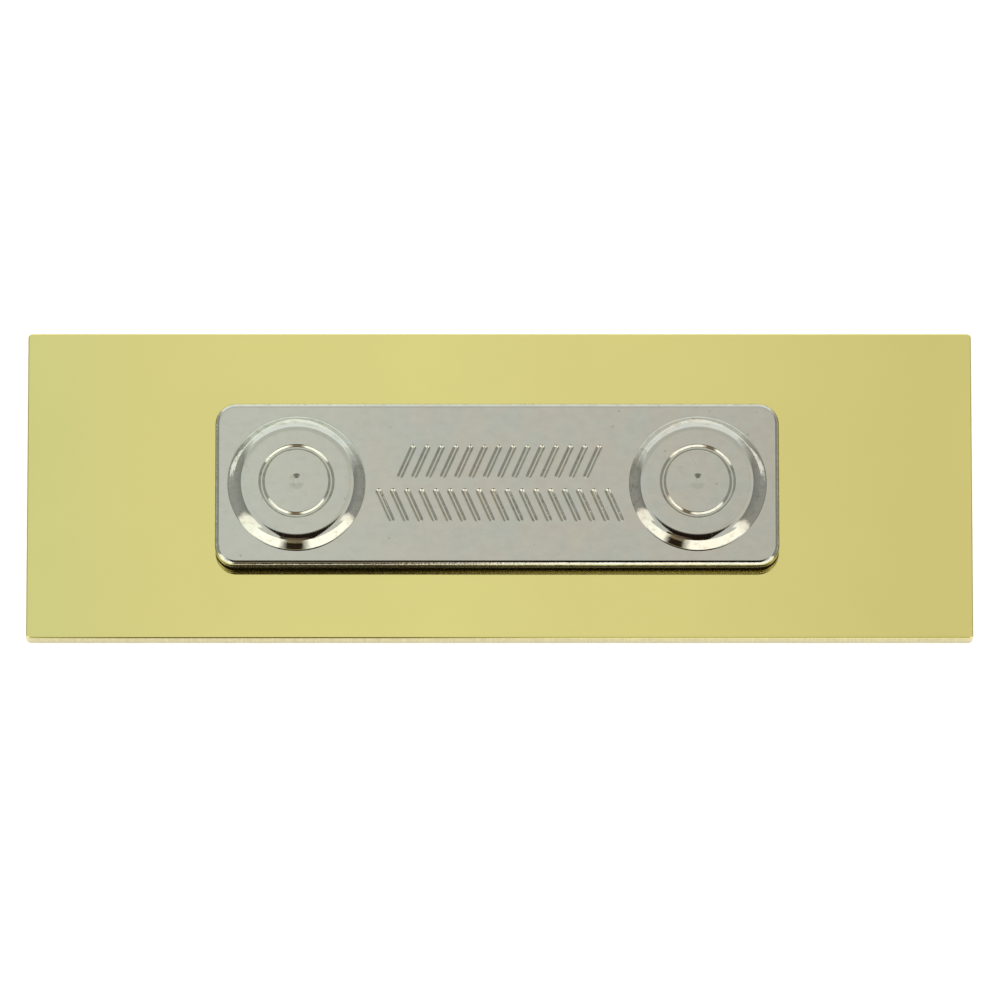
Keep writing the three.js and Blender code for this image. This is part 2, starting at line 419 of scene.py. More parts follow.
class Sketch:
    """Adds nodes to one tree."""

    def __init__(self, tree):
        self.tree = tree

    def node(self, kind, settings=None, sockets=None):
        """A node of a type, with its settings first and then the values or links of its sockets."""
        made = self.tree.nodes.new(kind)
        for name, value in (settings or {}).items():
            if name == "stops":
                self.set_stops(made.color_ramp, value)
            else:
                setattr(made, name, value)
        for key, value in (sockets or {}).items():
            target = made.inputs[key]
            if isinstance(value, Wire):
                self.tree.links.new(value.socket, target)
            else:
                target.default_value = value
        return made

    def set_stops(self, ramp, stops):
        """The stops of a colour ramp, from the lowest to the highest."""
        first, *middle, last = stops
        ramp.elements[0].position, ramp.elements[0].color = first
        ramp.elements[1].position, ramp.elements[1].color = last
        for position, shade in middle:
            ramp.elements.new(position).color = shade

    def wire(self, made, output=0):
        return Wire(self, made.outputs[output])

    def math(self, operation, first, second=0.0):
        sockets = {0: first, 1: second}
        return self.wire(self.node("ShaderNodeMath", {"operation": operation}, sockets))

    def vector(self, operation, first, second=None, scale=None):
        sockets = {0: first}
        if second is not None:
            sockets[1] = second
        if scale is not None:
            sockets["Scale"] = scale
        return self.wire(self.node("ShaderNodeVectorMath", {"operation": operation}, sockets))

    def step(self, value, low, high, to_low=0.0, to_high=1.0):
        """A smooth step from one value to another as the input goes from low to high."""
        settings = {"interpolation_type": "SMOOTHSTEP"}
        sockets = {"Value": value, "From Min": low, "From Max": high}
        sockets.update({"To Min": to_low, "To Max": to_high})
        return self.wire(self.node("ShaderNodeMapRange", settings, sockets))

    def blend(self, factor, first, second):
        """A colour between two others. The node's colour sockets are its inputs 6 and 7 and its
        output 2."""
        settings = {"data_type": "RGBA", "clamp_factor": True}
        return self.wire(self.node("ShaderNodeMix", settings, {0: factor, 6: first, 7: second}), 2)

    def noise_at(self, spot, seed, detail=0.0, rough=0.5):
        """Soft noise from 0 to 1 whose patches are about one unit across."""
        settings = {"noise_dimensions": "4D"}
        sockets = {"Vector": spot, "W": seed, "Scale": 1.0, "Detail": detail, "Roughness": rough}
        return self.wire(self.node("ShaderNodeTexNoise", settings, sockets))


def opaque(shade):
    return (shade[0], shade[1], shade[2], 1.0)


def tinted(shade, tint):
    """A colour times one number, or times one number for each of its channels."""
    tints = tint if isinstance(tint, tuple) else (tint, tint, tint)
    return opaque([channel * share for channel, share in zip(shade, tints)])


def blank_material(name):
    """A material with an empty node tree."""
    material = bpy.data.materials.new(name)
    material.use_nodes = True
    material.node_tree.nodes.clear()
    return material


class Finish(Sketch):
    """A material sketch with patterns measured in millimetres on the piece."""

    def __init__(self, name):
        self.material = blank_material(name)
        super().__init__(self.material.node_tree)
        spot = self.wire(self.node("ShaderNodeTexCoord"), "Object")
        self.spot = self.vector("SCALE", spot, scale=1 / MM)
        parts = self.node("ShaderNodeSeparateXYZ", None, {0: self.spot})
        self.x = self.wire(parts, "X")
        self.z = self.wire(parts, "Z")
        normal = self.wire(self.node("ShaderNodeNewGeometry"), "Normal")
        self.up = self.wire(self.node("ShaderNodeSeparateXYZ", None, {0: normal}), "Z")

    def leaning(self, flat, steep):
        """From 0 on level faces to 1 on faces that lean, told by the upright part of their
        normal."""
        return self.step(self.math("ABSOLUTE", self.up), flat, steep)

    def noise(self, size, detail=2.0, rough=0.5, stretch=(1, 1, 1), seed=0.0):
        """Soft noise from 0 to 1 whose patches are about a size in millimetres across."""
        spot = self.vector("MULTIPLY", self.spot, tuple(share / size for share in stretch))
        return self.noise_at(spot, seed, detail, rough)

    def bump(self, height, depth, normal=None):
        """A normal from a height of 0 to 1 over a depth in millimetres."""
        sockets = {"Height": height, "Distance": depth * MM, "Strength": 1.0}
        if normal is not None:
            sockets["Normal"] = normal
        return self.wire(self.node("ShaderNodeBump", None, sockets))

    def scratches(self, size, width, share, angle, seed):
        """Fine straight marks along one direction, from 0 to 1, of a length and a width in
        millimetres. A larger share makes more of them."""
        sockets = {"Vector": self.spot, "Rotation": (0, 0, angle)}
        turn = self.node("ShaderNodeMapping", {"vector_type": "POINT"}, sockets)
        spot = self.vector("MULTIPLY", self.wire(turn), (1 / size, 1 / width, 1 / size))
        softness = 0.06
        return self.step(self.noise_at(spot, seed), 1 - share, 1 - share + softness)

    def close(self, base, roughness, normal, metallic=1.0):
        """The shader and the material's output."""
        sockets = {"Base Color": base, "Metallic": metallic, "Roughness": roughness}
        shader = self.node("ShaderNodeBsdfPrincipled", None, {**sockets, "Normal": normal})
        self.node("ShaderNodeOutputMaterial", None, {"Surface": self.wire(shader)})
        return self.material


def polished_brass(settings, seed):
    """Mirror-polished brass: faint clouds, smears and hairlines on the faces, and grain on the
    edges, in a dark colour that is partly the edges' own and partly painted shade on the plate's
    sides."""
    finish = Finish("polished_brass")
    clouds = finish.noise(9.0, detail=3.0, seed=seed)
    smears = finish.noise(2.2, stretch=(0.35, 1, 1), seed=seed + 1)
    hairlines = finish.noise(0.14, detail=1.0, stretch=(0.03, 1, 1), seed=seed + 2)
    scratch = finish.scratches(size=3.5, width=0.05, share=0.24, angle=0.5, seed=seed + 3)
    grain = finish.noise(0.12, stretch=(1, 1, 0.05), seed=seed + 4)
    side = finish.leaning(0.9, 0.5)

    dull = tinted(settings.brass, 0.985)
    light = tinted(settings.brass, 1.012)
    base = finish.blend(finish.step(clouds, 0.25, 0.75), dull, light)
    # Grain on the leaning faces, dark partly as the edges' own colour and partly as painted shade
    # on the plate's sides
    base = finish.blend(side * (0.25 + 0.75 * grain), base, opaque(settings.sheared_edge_and_shade))
    rough = 0.055 + 0.02 * smears + 0.03 * scratch + side * (0.10 + 0.10 * grain)
    wave = finish.bump(clouds, 0.0012)
    fine = finish.bump(hairlines + 1.5 * scratch + 12.0 * side * grain, 0.00008, wave)
    return finish.close(base, rough, fine)


# What the marks, the painted reflection and the painted shade on nickel plate make of its colour
WARM = (1.03, 1.0, 0.97)
COOL = (0.965, 1.005, 1.02)
PAINTED_REFLECTION_TINT = (1.07, 1.13, 1.11)
BROWN = (0.40, 0.32, 0.20)
DULL = 0.72
PALE = 1.22


def nickel_plate(name, shade, seed, base_rough=0.06, marks=1.0, tarnish_and_shade=0.75, gritty_below=0.0):
    """Bright nickel plate with cloudy mottling and faint press ripples. Its marks are specks,
    scuffs and hairlines, and small knocks on its slopes. Tarnish smears its slopes. Its side walls
    and undersides are darkened brown as painted shade, and its left end is painted lighter and
    greener as a painted reflection. Walls are gritty below a height in millimetres."""
    finish = Finish(name)
    mottle = finish.noise(2.6, detail=3.0, rough=0.6, seed=seed)
    ripple = finish.noise(1.6, detail=1.0, stretch=(1, 1.7, 1), seed=seed + 1)
    broad = finish.noise(7.0, detail=1.0, seed=seed + 2)
    peel = finish.noise(0.30, detail=1.0, seed=seed + 3)
    specks = finish.step(finish.noise(0.42, detail=0.0, seed=seed + 4), 0.80, 0.86)
    scratch = finish.scratches(size=1.8, width=0.045, share=0.25, angle=1.35, seed=seed + 5)
    scuff = finish.scratches(size=1.0, width=0.06, share=0.22, angle=0.25, seed=seed + 6)
    grain = finish.noise(0.75, detail=3.0, rough=0.65, stretch=(0.8, 1.2, 1), seed=seed + 7)
    knocks = finish.noise(0.35, stretch=(0.6, 1, 1), seed=seed + 8)
    patches = finish.noise(0.55, detail=3.0, rough=0.7, stretch=(0.7, 1.3, 1), seed=seed + 9)
    smears = finish.step(patches, 0.50, 0.66)
    grit = finish.noise(0.22, seed=seed + 10)
    slope = finish.leaning(0.97, 0.80)
    gritty = finish.step(finish.z, gritty_below, gritty_below - 0.08)

    # Each layer's strength and tint, from the lowest up
    layers = [
        # Painted reflection: lighter and greener towards the left end, where the surroundings'
        # reflection is brighter
        (finish.step(finish.x, -3.0, -21.0, to_high=0.85), PAINTED_REFLECTION_TINT),
        (0.16 * marks * finish.step(grain, 0.45, 0.75), DULL),
        (0.16 * marks * finish.step(grain, 0.55, 0.25), PALE),
        (marks * (0.6 * specks + 0.25 * scratch), DULL),
        (0.30 * marks * scuff, PALE),
        (0.4 * tarnish_and_shade * slope * smears, BROWN),
        # Painted shade: side walls and undersides darkened brown
        (tarnish_and_shade * finish.step(finish.up, 0.30, 0.08), BROWN),
    ]
    base = finish.blend(finish.step(mottle, 0.3, 0.7), tinted(shade, COOL), tinted(shade, WARM))
    for strength, tint in layers:
        base = finish.blend(strength, base, tinted(shade, tint))

    rough = base_rough + 0.03 * mottle + marks * (0.10 * scuff + 0.08 * scratch + 0.15 * specks)
    wave = finish.bump(broad + 0.5 * ripple, 0.0016)
    dents = 0.3 * (knocks - 0.5) + gritty * (grit - 0.5)
    worn = finish.bump(marks * slope * dents, 0.02, wave)
    cuts = marks * (2.5 * scratch + 1.5 * scuff + 6.0 * specks)
    fine = finish.bump(peel - cuts, 0.00014, worn)
    return finish.close(base, rough, fine)


def foam_material(settings, seed):
    """Dark foam with fine cells."""
    finish = Finish("adhesive_foam")
    cells = finish.noise(0.10, seed=seed)
    patches = finish.noise(1.2, seed=seed + 1)
    dark = tinted(settings.foam, 0.6)
    pale = tinted(settings.foam, 1.5)
    base = finish.blend(finish.step(cells, 0.35, 0.65) * (0.5 + 0.5 * patches), dark, pale)
    return finish.close(base, 0.85 + 0.1 * cells, finish.bump(cells, 0.02), metallic=0.0)


# Geometry node trees

def new_tree(name, inputs):
    """The sketch of a geometry tree with a mesh going in and out, and its named inputs."""
    tree = bpy.data.node_groups.new(name, "GeometryNodeTree")
    for label, kind in {"Geometry": "Geometry", **inputs}.items():
        tree.interface.new_socket(label, in_out="INPUT", socket_type="NodeSocket" + kind)
    tree.interface.new_socket("Geometry", in_out="OUTPUT", socket_type="NodeSocketGeometry")
    sketch = Sketch(tree)
    entry = sketch.node("NodeGroupInput")
    return sketch, {label: sketch.wire(entry, label) for label in ("Geometry", *inputs)}


def finish_tree(sketch, made, material):
    """Ends a geometry tree with real meshes and their material."""
    real = sketch.node("GeometryNodeRealizeInstances", None, {0: made})
    sockets = {"Geometry": sketch.wire(real), "Material": material}
    dressed = sketch.node("GeometryNodeSetMaterial", None, sockets)
    sketch.node("NodeGroupOutput", None, {0: sketch.wire(dressed)})
    return sketch.tree


ROW_TREE = "Row of copies"


def row_tree():
    """Adds a straight row of copies of one piece to a mesh and welds them to it."""
    known = bpy.data.node_groups.get(ROW_TREE)
    if known is not None:
        return known
    inputs = {"Copy": "Object", "Count": "Int", "Middle": "Vector", "Step": "Vector"}
    inputs.update({"Turn": "Float", "Weld": "Float", "Material": "Material"})
    sketch, given = new_tree(ROW_TREE, inputs)
    half_row = sketch.vector("SCALE", given["Step"], scale=(given["Count"] - 1) * -0.5)
    start = sketch.vector("ADD", given["Middle"], half_row)
    line = sketch.node(
        "GeometryNodeMeshLine",
        {"mode": "OFFSET"},
        {"Count": given["Count"], "Start Location": start, "Offset": given["Step"]},
    )
    copy = sketch.node(
        "GeometryNodeObjectInfo", {"transform_space": "ORIGINAL"}, {"Object": given["Copy"]}
    )
    turn = sketch.node("ShaderNodeCombineXYZ", None, {"Z": given["Turn"]})
    placed = sketch.node(
        "GeometryNodeInstanceOnPoints",
        None,
        {
            "Points": sketch.wire(line),
            "Instance": sketch.wire(copy, "Geometry"),
            "Rotation": sketch.wire(turn),
        },
    )
    real = sketch.node("GeometryNodeRealizeInstances", None, {0: sketch.wire(placed)})
    joined = sketch.node("GeometryNodeJoinGeometry", None, {0: given["Geometry"]})
    # The socket takes many links, and this adds the second
    sketch.tree.links.new(real.outputs[0], joined.inputs[0])
    sockets = {"Geometry": sketch.wire(joined), "Distance": given["Weld"]}
    welded = sketch.node("GeometryNodeMergeByDistance", None, sockets)
    return finish_tree(sketch, sketch.wire(welded), given["Material"])


def foam_tree():
    """Sinks open cells into the side walls of a slab of foam."""
    inputs = {"Cell Size": "Float", "Depth": "Float", "Seed": "Float", "Material": "Material"}
    sketch, given = new_tree("Foam edge", inputs)
    spot = sketch.wire(sketch.node("GeometryNodeInputPosition"))
    normal = sketch.wire(sketch.node("GeometryNodeInputNormal"))
    up = sketch.wire(sketch.node("ShaderNodeSeparateXYZ", None, {0: normal}), "Z")
    scaled = sketch.vector("SCALE", spot, scale=1.0 / given["Cell Size"])
    cells = sketch.noise_at(scaled, given["Seed"], detail=1.0)
    pit = sketch.step(cells, 0.45, 0.68)
    wall = sketch.step(sketch.math("ABSOLUTE", up), 0.35, 0.05)
    sink = pit * wall * given["Depth"] * -1.0
    sockets = {"Geometry": given["Geometry"], "Offset": sketch.vector("SCALE", normal, scale=sink)}
    pitted = sketch.node("GeometryNodeSetPosition", None, sockets)
    return finish_tree(sketch, sketch.wire(pitted), given["Material"])


def grow(piece, tree, values):
    """The mesh that a tree makes of a piece, given the values of its named inputs. The piece
    keeps its own mesh."""
    modifier = piece.modifiers.new(tree.name, "NODES")
    modifier.node_group = tree
    for item in tree.interface.items_tree:
        if item.in_out == "INPUT" and item.name in values:
            modifier[item.identifier] = values[item.name]
    piece.update_tag()
    bpy.context.view_layer.update()
    evaluated = piece.evaluated_get(bpy.context.evaluated_depsgraph_get())
    made = bpy.data.meshes.new_from_object(evaluated)
    piece.modifiers.remove(modifier)
    made.shade_smooth()
    return made


def use_mesh(piece, mesh):
    """Puts another mesh in the place of the piece's own."""
    old = piece.data
    piece.data = mesh
    bpy.data.meshes.remove(old)
    mesh.name = piece.name


def coat(piece, material):
    """Gives a piece its one material."""
    piece.data.materials.clear()
    piece.data.materials.append(material)


# The pieces

# How far above the marks' seed the seeds of the nickel-plated pieces start
STRIP_SEED = 20
COVER_SEED = 40
MAGNET_SEED = 60
# The seed of the foam's open cells
CELLS_SEED = 5.0


class BADGE_OT_plate(Operator):
    """Builds the polished brass name plate"""

    bl_idname = "badge.plate"
    bl_label = "Name Plate"

    def execute(self, context):
        settings = context.scene.badge_plate
        skin = round_slab(PLATE_BOX, settings.corner, settings.edge, settings.edge)
        piece = new_object("brass_plate", skin.mesh("brass_plate"))
        coat(piece, polished_brass(settings, context.scene.badge_stage.marks_seed))
        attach(piece, "badge")
        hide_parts("name_plate")
        return {"FINISHED"}


class BADGE_OT_pad(Operator):
    """Builds the adhesive foam pad between the plate and the strip"""

    bl_idname = "badge.pad"
    bl_label = "Foam Pad"

    def execute(self, context):
        settings = context.scene.badge_strip
        low, high = PAD_BOX
        rise = (high - low).z
        steps = [(0.0, low.z + rise * level / (PAD_LEVELS - 1)) for level in range(PAD_LEVELS)]
        skin = closed_stack(PAD_BOX, settings.pad_corner, steps, PAD_SIDE_STEP)
        piece = new_object("foam_pad", skin.mesh("foam_pad"))
        values = {
            "Cell Size": settings.foam_cell,
            "Depth": settings.foam_depth,
            "Seed": CELLS_SEED,
            "Material": foam_material(settings, context.scene.badge_stage.marks_seed),
        }
        use_mesh(piece, grow(piece, foam_tree(), values))
        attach(piece, "badge")
        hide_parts("adhesive_pad")
        return {"FINISHED"}


class BADGE_OT_strip(Operator):
    """Builds the plated steel strip that the magnets hold on to"""

    bl_idname = "badge.strip"
    bl_label = "Steel Strip"

    def execute(self, context):
        settings = context.scene.badge_strip
        skin = round_slab(STRIP_BOX, settings.corner, settings.lower_edge, settings.upper_edge)
        piece = new_object("keeper_strip", skin.mesh("keeper_strip"))
        seed = context.scene.badge_stage.marks_seed + STRIP_SEED
        coat(piece, nickel_plate("plated_strip", settings.steel, seed, base_rough=0.08, marks=0.6))
        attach(piece, "badge")
        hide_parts("steel_strip")
        return {"FINISHED"}


# Radii inside the cover, and the half width and radius of a dimple's floor
INNER_CORNER = 0.1 * MM
INNER_EDGE = 0.06 * MM
ROOF_CORNER = 0.2 * MM
CEILING_CORNER = 0.12 * MM
DIMPLE_FLOOR = 0.2 * MM
DIMPLE_BOWL = 0.9 * MM
# How far under the cover's face its gritty wall begins, in millimetres
GRIT_START = 0.03


def boss_middles():
    """Where the bosses stand, which is right above the magnets."""
    return [(low + high).xy / 2 for low, high in (LEFT_DISC_BOX, RIGHT_DISC_BOX)]


def groove_section(grooves, top=0.0):
    """Right half of a groove's section, from its lip to its floor."""
    reach = grooves.width / 2
    floor = grooves.floor / 2
    corners = [
        (reach + RUN, top, 0),
        (reach, top, grooves.lip),
        (floor, top - grooves.depth, grooves.root),
        (0, top - grooves.depth, 0),
    ]
    return section(corners, GROOVE_ARC_STEPS)


def groove_patch(grooves, height):
    """One grip groove with the flat edge round it, and the outline of that edge."""
    straight = grooves.row_height / math.cos(grooves.slant) - grooves.width
    profile = groove_section(grooves)
    skin = Skin()
    loops = [skin.loop(stadium(p.x, straight), height + p.y) for p in profile]
    skin.bridge_all(loops)
    skin.fill(loops[-1])
    return skin, stadium(profile[0].x, straight)


def grip_rows(grooves, spacing, boss_foot):
    """The two rows as (count, middle, turn). A row has as many grooves as its margins allow."""
    rows = []
    rounding = 1e-6
    for side, margin in ((1, grooves.upper_margin), (-1, grooves.lower_margin)):
        room = spacing - boss_foot - 2 * margin - grooves.width
        count = max(1, math.floor(room / grooves.pitch + rounding) + 1)
        middle_x = FASTENER_MIDDLE.x + grooves.row_shift
        middle_y = FASTENER_MIDDLE.y + side * grooves.row_spacing / 2
        rows.append((count, Vector((middle_x, middle_y, 0)), -side * grooves.slant))
    return rows


def boss_profile(cover, grooves, top):
    """Section of a boss from the flat round its foot to its middle, with the ring groove and the
    dimple."""
    foot = cover.boss_foot / 2
    peak = COVER_BOX[1].z
    outer = section(
        [
            (foot + RUN, top, 0),
            (foot, top, cover.boss_foot_round),
            (cover.boss_top / 2, peak, cover.boss_top_round),
            (0, peak, 0),
        ],
        BOSS_ARC_STEPS,
    )
    ring = grooves.ring / 2
    half = groove_section(grooves, peak)
    groove = [Vector((ring + p.x, p.y)) for p in half]
    groove += [Vector((ring - p.x, p.y)) for p in reversed(half)]
    dimple = grooves.dimple / 2
    bowl = peak - grooves.dish
    centre = section(
        [
            (dimple + RUN, peak, 0),
            (dimple, peak, grooves.lip),
            (DIMPLE_FLOOR, bowl, DIMPLE_BOWL),
            (0, bowl, 0),
        ]
    )
    return outer + groove + centre


def cavity_profile(cover, ceiling):
    """Section of the hollow under a boss, from its roof to the cover's ceiling."""
    low, high = COVER_BOX
    slope = math.atan2(high.z - cover.height - low.z, (cover.boss_foot - cover.boss_top) / 2)
    shift = cover.sheet * math.tan(slope / 2)
    roof = high.z - cover.sheet
    return section(
        [
            (0, roof, 0),
            (cover.boss_top / 2 - shift, roof, ROOF_CORNER),
            (cover.boss_foot / 2 - shift, ceiling, CEILING_CORNER),
            (cover.boss_foot / 2 + RUN, ceiling, 0),
        ]
    )


def cover_skin(cover, grooves, top, rows, mouth):
    """The cover, hollow from below, with an opening in its face for each grip groove."""
    low = COVER_BOX[0]
    ceiling = top - cover.sheet
    skin = Skin()
    wall = section(
        [
            (cover.sheet + RUN, ceiling, 0),
            (cover.sheet, ceiling, INNER_CORNER),
            (cover.sheet, low.z, INNER_EDGE),
            (0, low.z, cover.rim),
            (0, top, cover.edge),
            (RUN, top, 0),
        ]
    )
    loops = stack(skin, COVER_BOX, cover.corner, wall)
    skin.bridge_all(loops)
    holes_above = []
    holes_below = []
    for middle in boss_middles():
        outside = turned(skin, middle, boss_profile(cover, grooves, top))
        skin.bridge_all(outside)
        skin.fan(outside[-1])
        holes_above.append(outside[0])
        inside = turned(skin, middle, cavity_profile(cover, ceiling))
        skin.bridge_all(inside)
        skin.fan(inside[0], up=False)
        holes_below.append(inside[-1])
    for count, row_middle, turn in rows:
        for index in range(count):
            middle = row_middle + Vector(((index - (count - 1) / 2) * grooves.pitch, 0, 0))
            holes_above.append(skin.loop(moved(mouth, middle, turn), top))
    skin.fill(loops[-1], holes_above)
    skin.fill(loops[0], holes_below, up=False)
    return skin


class BADGE_OT_cover(Operator):
    """Builds the pressed cover of the magnet bar with its bosses and stamped grooves"""

    bl_idname = "badge.cover"
    bl_label = "Pressed Cover"

    def execute(self, context):
        cover = context.scene.badge_cover
        grooves = context.scene.badge_grooves
        top = COVER_BOX[0].z + cover.height
        left, right = boss_middles()
        rows = grip_rows(grooves, right.x - left.x, cover.boss_foot)
        patch_skin, mouth = groove_patch(grooves, top)
        skin = cover_skin(cover, grooves, top, rows, mouth)
        piece = new_object("pressed_cover", skin.mesh("pressed_cover"))
        patch = new_object("groove_patch", patch_skin.mesh("groove_patch"))
        seed = context.scene.badge_stage.marks_seed + COVER_SEED
        grit_top = top / MM - GRIT_START
        material = nickel_plate("plated_cover", cover.nickel, seed, gritty_below=grit_top)
        for count, row_middle, turn in rows:
            values = {
                "Copy": patch,
                "Count": count,
                "Middle": row_middle,
                "Step": (grooves.pitch, 0, 0),
                "Turn": turn,
                "Weld": WELD,
                "Material": material,
            }
            use_mesh(piece, grow(piece, row_tree(), values))
        bpy.data.objects.remove(patch)
        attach(piece, "magnet_bar")
        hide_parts("magnet_cover")
        return {"FINISHED"}


class BADGE_OT_magnets(Operator):
    """Builds the two disc magnets under the bosses"""

    bl_idname = "badge.magnets"
    bl_label = "Disc Magnets"

    def execute(self, context):
        settings = context.scene.badge_magnets
        low, high = LEFT_DISC_BOX
        radius = (high.x - low.x) / 2
        left, right = boss_middles()
        skin = Skin()
        profile = section(
            [
                (0, low.z, 0),
                (radius, low.z, settings.edge),
                (radius, high.z, settings.edge),
                (0, high.z, 0),
            ]
        )
        loops = turned(skin, (0, 0), profile, MAGNET_SIDES)
        skin.bridge_all(loops)
        skin.fan(loops[0], up=False)
        skin.fan(loops[-1])
        disc = new_object("disc_pattern", skin.mesh("disc_pattern"))
        piece = new_object("disc_magnets", bpy.data.meshes.new("disc_magnets"))
        seed = context.scene.badge_stage.marks_seed + MAGNET_SEED
        material = nickel_plate(
            "magnet_plating", settings.plating, seed, base_rough=0.05, marks=0.6, tarnish_and_shade=0.15
        )
        values = {
            "Copy": disc,
            "Count": 2,
            "Middle": ((left.x + right.x) / 2, (left.y + right.y) / 2, 0),
            "Step": (right.x - left.x, right.y - left.y, 0),
            "Turn": 0.0,
            "Weld": WELD,
            "Material": material,
        }
        use_mesh(piece, grow(piece, row_tree(), values))
        bpy.data.objects.remove(disc)
        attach(piece, "magnet_bar")
        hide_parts("magnet_disc_left", "magnet_disc_right")
        return {"FINISHED"}


# The table, the light and the camera

# The world's light, and the white that the camera sees behind the table
SKY = 0.85
BACKDROP = 1.0
# How far the table reaches, in metres, and how far under the badge it lies
TABLE_REACH = 4.0
TABLE_DROP = 0.02 * MM

# A light card is a flat sheet from one corner to the other, in millimetres, that only reflections
# see. Its light is given at one or more places along one axis, as (place, red, green, blue).
Card = namedtuple("Card", "name low high axis light")
CEILING = 200
CARDS = [
    Card(
        "ceiling", (-260, -20, CEILING), (260, 68, CEILING), "X",
        [
            (-62, 0.83, 0.84, 0.85), (-44, 0.757, 0.806, 0.84), (-36, 0.808, 0.82, 0.83),
            (-24, 0.835, 0.832, 0.83), (-8, 0.85, 0.85, 0.85), (8, 0.83, 0.82, 0.815),
            (20, 0.81, 0.795, 0.79), (42, 0.74, 0.72, 0.68), (62, 0.84, 0.83, 0.81),
        ],
    ),
    Card(
        "far_ceiling", (-260, 68, CEILING), (260, 300, CEILING), "Y",
        [(68, 0.80, 0.79, 0.76), (95, 0.72, 0.72, 0.70)],
    ),
    Card(
        "camera_shade", (-80, -420, CEILING), (80, -20, CEILING), "Y",
        [
            (-52, 0.02, 0.013, 0.009), (-40, 0.10, 0.095, 0.08), (-28, 0.30, 0.29, 0.26),
            (-20, 0.60, 0.60, 0.57),
        ],
    ),
    Card("back_wall", (-200, 210, -1), (200, 210, 190), "Z", [(0, 1.13, 1.17, 1.22)]),
    Card(
        "left_screen", (-85, -22, -1), (-85, 55, 117), "Z",
        [(0, 0.46, 0.46, 0.46), (117, 0.30, 0.30, 0.30)],
    ),
    Card(
        "right_screen", (85, -36, -1), (85, 50, 117), "Z",
        [(0, 0.46, 0.46, 0.46), (117, 0.30, 0.30, 0.30)],
    ),
    Card(
        "left_far_end", (-85, 55, -1), (-85, 92, 117), "Y",
        [(55, 0.42, 0.42, 0.42), (92, 1.0, 1.02, 1.04)],
    ),
    Card(
        "right_far_end", (85, 50, -1), (85, 105, 117), "Y",
        [(50, 0.42, 0.42, 0.42), (105, 1.0, 1.02, 1.04)],
    ),
    Card(
        "left_near_end", (-85, -60, -1), (-85, -22, 117), "Y",
        [(-60, 1.70, 1.65, 1.56), (-30, 1.50, 1.42, 1.35), (-22, 0.42, 0.42, 0.42)],
    ),
    Card(
        "right_near_end", (85, -60, -1), (85, -36, 117), "Y",
        [(-60, 1.70, 1.65, 1.56), (-44, 1.50, 1.42, 1.35), (-36, 0.42, 0.42, 0.42)],
    ),
    Card(
        "front_low", (-260, -80, -1), (260, -80, 27), "X",
        [
            (-46, 1.85, 1.80, 1.70), (-32, 0.03, 0.02, 0.01), (-9, 0.03, 0.02, 0.01),
            (5, 1.85, 1.80, 1.70),
        ],
    ),
    Card(
        "front_middle", (-260, -80, 27), (260, -80, 62), "X",
        [
            (-46, 1.85, 1.80, 1.70), (-31, 0.32, 0.25, 0.16), (-9, 0.30, 0.23, 0.15),
            (6, 1.85, 1.80, 1.70),
        ],
    ),
    Card(
        "front_high", (-48, -80, 62), (8, -80, 106), "X",
        [
            (-48, 0.02, 0.013, 0.009), (-32, 0.20, 0.16, 0.11), (-10, 0.18, 0.14, 0.10),
            (8, 0.02, 0.013, 0.009),
        ],
    ),
]


def sheet(name, corners):
    """An object of one flat face."""
    mesh = bpy.data.meshes.new(name)
    mesh.from_pydata([tuple(corner) for corner in corners], [], [(0, 1, 2, 3)])
    return new_object(name, mesh)


def glow_material(card):
    """A plain glow whose colour follows the places of the card's light."""
    material = blank_material(card.name)
    sketch = Sketch(material.node_tree)
    strength = max(max(shade) for _, *shade in card.light)
    spots = [(spot, opaque([value / strength for value in shade])) for spot, *shade in card.light]
    first, glow = spots[0]
    last = spots[-1][0]
    if last > first:
        stops = [((spot - first) / (last - first), shade) for spot, shade in spots]
        on_card = sketch.wire(sketch.node("ShaderNodeTexCoord"), "Object")
        parts = sketch.node("ShaderNodeSeparateXYZ", None, {0: on_card})
        factor = (sketch.wire(parts, card.axis) / MM - first) / (last - first)
        glow = sketch.wire(sketch.node("ShaderNodeValToRGB", {"stops": stops}, {0: factor}))
    sockets = {"Base Color": (0, 0, 0, 1), "Specular IOR Level": 0.0}
    sockets.update({"Emission Color": glow, "Emission Strength": strength})
    shader = sketch.node("ShaderNodeBsdfPrincipled", None, sockets)
    sketch.node("ShaderNodeOutputMaterial", None, {"Surface": sketch.wire(shader)})
    return material


def add_card(card):
    low = Vector(card.low) * MM
    high = Vector(card.high) * MM
    if low.z == high.z:
        corners = [low, (high.x, low.y, low.z), high, (low.x, high.y, low.z)]
    else:
        corners = [low, (high.x, high.y, low.z), high, (low.x, low.y, high.z)]
    piece = sheet(card.name, corners)
    coat(piece, glow_material(card))
    piece.visible_camera = False
    piece.visible_diffuse = False
    piece.visible_shadow = False
    piece.visible_transmission = False


